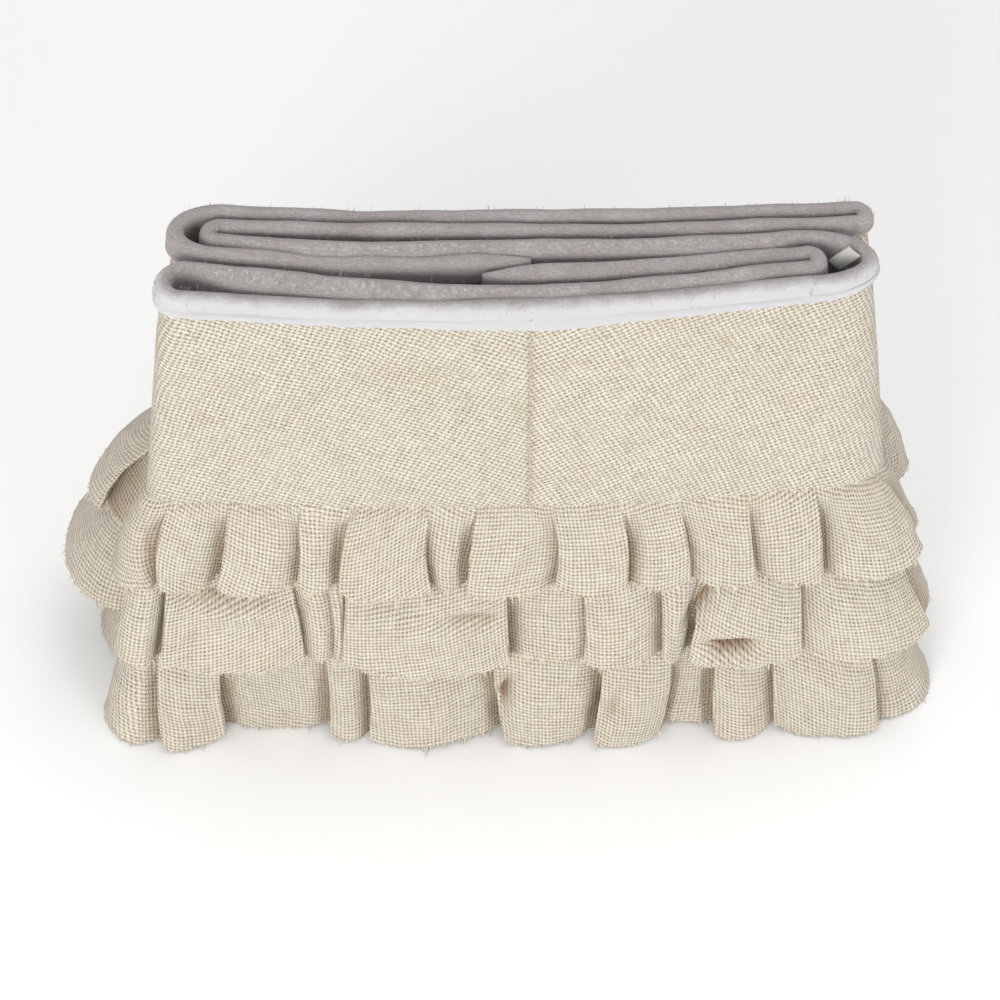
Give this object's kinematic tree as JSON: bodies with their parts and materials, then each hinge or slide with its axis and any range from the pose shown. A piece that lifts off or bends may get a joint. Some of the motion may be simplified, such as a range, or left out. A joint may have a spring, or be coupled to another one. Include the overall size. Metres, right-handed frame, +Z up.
{
  "type": "tree skirt",
  "caption": "Ruffled burlap tree collar skirt with felt lining, a closed cone band folded in thirds and standing on its gathered hem.",
  "frame": {"origin": "on the floor, under the middle of the folded stack", "axes": "+X to the right along the front leaf, +Y to the back through the six leaves, +Z up"},
  "size_m": [0.403, 0.1124, 0.285],
  "materials": {
    "burlap_panel": "plain coarse weave",
    "burlap_ruffle": "plain coarse weave with frayed raw edge",
    "felt": "soft needled felt",
    "thread": "spun thread",
    "closure_tape": "hook-and-loop tape",
    "label_tape": "ribbed woven tape"
  },
  "bodies": {
    "middle_third": {"care_label": "label_tape", "closure_hook_strip": "closure_tape", "closure_loop_strip": "closure_tape", "lining_left_end": "felt", "lining_left_inner_turn": "felt", "lining_left_outer_turn": "felt", "lining_middle": "felt", "lining_right_end": "felt", "lining_right_inner_turn": "felt", "lining_right_outer_turn": "felt", "panel_1_end": "burlap_panel", "panel_1_left_turn": "burlap_panel", "panel_2_left_turn": "burlap_panel", "panel_2_middle": "burlap_panel", "panel_2_right_turn": "burlap_panel", "panel_3_end": "burlap_panel", "panel_3_right_turn": "burlap_panel", "ruffle_1_left_end": "burlap_ruffle", "ruffle_1_left_inner_turn": "burlap_ruffle", "ruffle_1_left_outer_turn": "burlap_ruffle", "ruffle_1_middle": "burlap_ruffle", "ruffle_1_right_end": "burlap_ruffle", "ruffle_1_right_inner_turn": "burlap_ruffle", "ruffle_1_right_outer_turn": "burlap_ruffle", "ruffle_2_left_end": "burlap_ruffle", "ruffle_2_left_inner_turn": "burlap_ruffle", "ruffle_2_left_outer_turn": "burlap_ruffle", "ruffle_2_middle": "burlap_ruffle", "ruffle_2_right_end": "burlap_ruffle", "ruffle_2_right_inner_turn": "burlap_ruffle", "ruffle_2_right_outer_turn": "burlap_ruffle", "ruffle_3_left_end": "burlap_ruffle", "ruffle_3_left_inner_turn": "burlap_ruffle", "ruffle_3_left_outer_turn": "burlap_ruffle", "ruffle_3_middle": "burlap_ruffle", "ruffle_3_right_end": "burlap_ruffle", "ruffle_3_right_inner_turn": "burlap_ruffle", "ruffle_3_right_outer_turn": "burlap_ruffle"},
    "front_third": {"lining_front": "felt", "panel_2_front": "burlap_panel", "panel_3_front": "burlap_panel", "ruffle_1_front": "burlap_ruffle", "ruffle_2_front": "burlap_ruffle", "ruffle_3_front": "burlap_ruffle", "seam_thread_front": "thread"},
    "back_third": {"lining_back": "felt", "panel_1_back": "burlap_panel", "panel_2_back": "burlap_panel", "ruffle_1_back": "burlap_ruffle", "ruffle_2_back": "burlap_ruffle", "ruffle_3_back": "burlap_ruffle", "seam_thread_back": "thread"}
  },
  "joints": [
    {"name": "front_fold", "type": "hinge", "parent": "middle_third", "child": "front_third", "pos_m": [0.166, -0.0133, 0], "axis": [-0.1327, 0.0427, 0.9902], "range_deg": [0, 172], "deforming": ["lining_right_inner_turn", "lining_right_outer_turn", "panel_2_right_turn", "panel_3_right_turn", "ruffle_1_right_inner_turn", "ruffle_1_right_outer_turn", "ruffle_2_right_inner_turn", "ruffle_2_right_outer_turn", "ruffle_3_right_inner_turn", "ruffle_3_right_outer_turn", "care_label"]},
    {"name": "back_fold", "type": "hinge", "parent": "middle_third", "child": "back_third", "pos_m": [-0.1663, 0.0216, 0], "axis": [0.1167, -0.0216, 0.9929], "range_deg": [0, 180], "deforming": ["lining_left_inner_turn", "lining_left_outer_turn", "panel_1_left_turn", "panel_2_left_turn", "ruffle_1_left_inner_turn", "ruffle_1_left_outer_turn", "ruffle_2_left_inner_turn", "ruffle_2_left_outer_turn", "ruffle_3_left_inner_turn", "ruffle_3_left_outer_turn"]}
  ]
}
